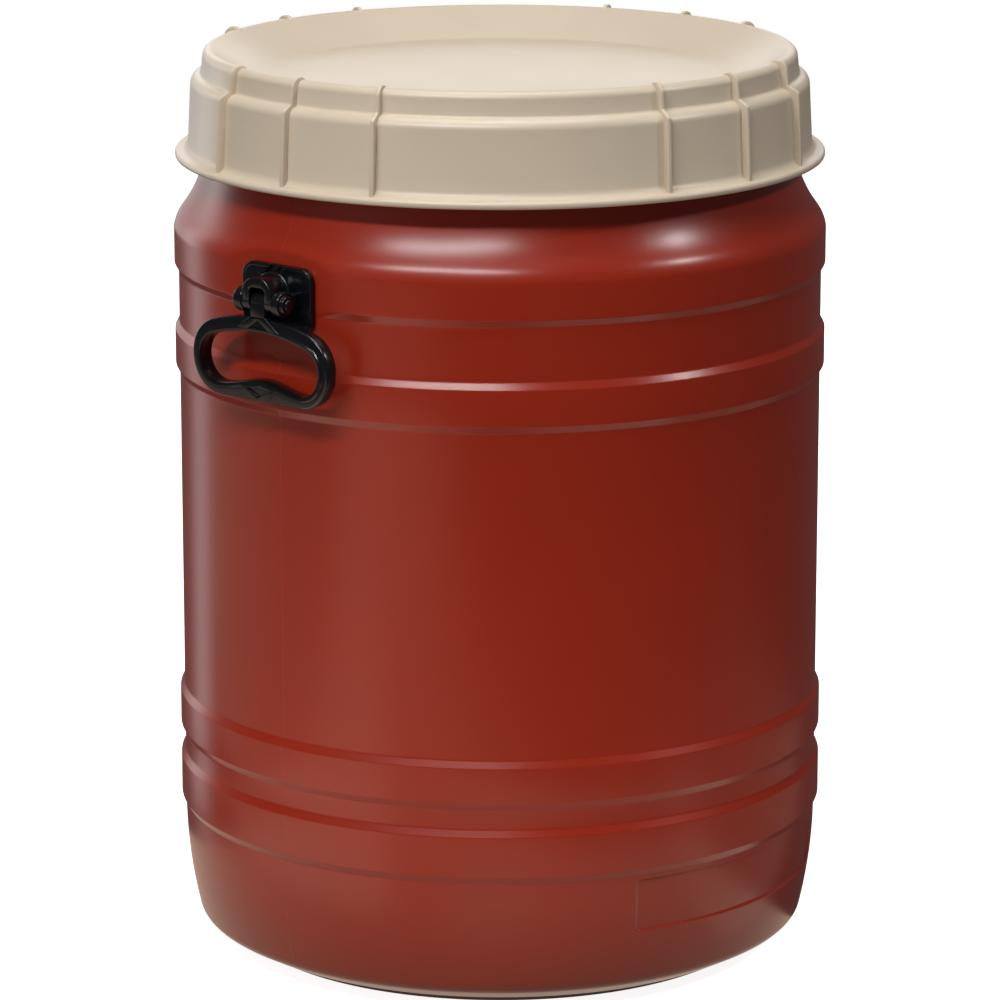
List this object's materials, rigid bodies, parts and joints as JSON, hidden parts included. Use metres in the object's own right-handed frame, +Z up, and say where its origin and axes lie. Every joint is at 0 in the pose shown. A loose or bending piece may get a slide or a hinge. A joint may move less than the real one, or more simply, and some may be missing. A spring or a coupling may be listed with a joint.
{
  "type": "plastic open head drum",
  "caption": "Wide-neck moulded plastic drum in brick red with raised hoops, a ribbed beige screw lid and black swing handles hooded at the shoulder",
  "frame": {"origin": "centre of the base on the floor", "axes": "+Z up along the drum's axis, X through the two handles, -Y towards the bare marking panel"},
  "size_m": [0.437, 0.4, 0.5587],
  "materials": {
    "body_polyethylene": "satin moulded",
    "lid_polyethylene": "satin moulded",
    "seal_rubber": "matte",
    "handle_plastic": "satin moulded",
    "pin_plastic": "satin moulded"
  },
  "bodies": {
    "drum": {"drum_body": "body_polyethylene", "bracket_left": "handle_plastic", "bracket_right": "handle_plastic", "hinge_pin_left": "pin_plastic", "hinge_pin_right": "pin_plastic"},
    "seal": {"lid_seal": "seal_rubber"},
    "lid": {"lid": "lid_polyethylene"},
    "left_grip": {"grip_left": "handle_plastic"},
    "right_grip": {"grip_right": "handle_plastic"}
  },
  "joints": [
    {"name": "lid_rise", "type": "slide", "parent": "drum", "child": "seal", "axis": [0, 0, 1], "range_m": [0, 0.0601]},
    {"name": "lid_turn", "type": "hinge", "parent": "seal", "child": "lid", "pos_m": [0, 0, 0.557], "axis": [0, 0, 1], "range_deg": [0, 900]},
    {"name": "left_grip_swing", "type": "hinge", "parent": "drum", "child": "left_grip", "pos_m": [-0.211, 0, 0.43], "axis": [0, 1, 0], "range_deg": [-4, 110]},
    {"name": "right_grip_swing", "type": "hinge", "parent": "drum", "child": "right_grip", "pos_m": [0.211, 0, 0.43], "axis": [0, -1, 0], "range_deg": [-4, 110]}
  ],
  "couplings": [
    {"joint": "lid_rise", "follows": "lid_turn", "m_per_rad": 0.0038197}
  ]
}
